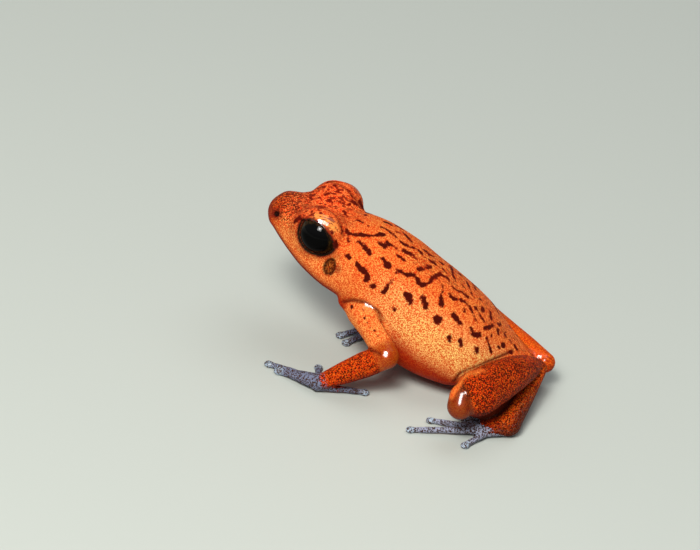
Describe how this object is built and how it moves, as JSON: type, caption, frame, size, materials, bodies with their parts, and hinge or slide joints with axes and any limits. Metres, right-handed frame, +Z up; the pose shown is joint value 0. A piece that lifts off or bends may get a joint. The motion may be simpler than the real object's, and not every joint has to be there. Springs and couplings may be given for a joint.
{
  "type": "strawberry poison dart frog, life-size still model",
  "caption": "Small vermilion dart frog with dark flecks and blue-grey hands and feet, sitting up with its head raised; a still, life-size display model.",
  "frame": {"origin": "middle of the whole frog's box, on the floor it stands on", "axes": "+X towards the frog's left side, -Y the way the trunk faces, +Z up"},
  "size_m": [0.018, 0.0204, 0.0103],
  "materials": {
    "skin": "moist granular skin, vermilion with dark maroon flecks",
    "limb_skin": "moist skin, brownish orange-red with fine dark speckle",
    "digit_skin": "moist skin, blue-grey with dark netting and paler glossy disc tips",
    "eye": "wet high gloss, near black"
  },
  "bodies": {
    "root": {"head": "skin", "trunk": "skin", "eye_left": "eye", "upper_arm_left": "skin", "forearm_left": "limb_skin", "hand_left": "digit_skin", "thigh_left": "limb_skin", "shank_left": "limb_skin", "tarsus_left": "limb_skin", "foot_left": "digit_skin", "eye_right": "eye", "upper_arm_right": "skin", "forearm_right": "limb_skin", "hand_right": "digit_skin", "thigh_right": "limb_skin", "shank_right": "limb_skin", "tarsus_right": "limb_skin", "foot_right": "digit_skin"}
  },
  "joints": []
}
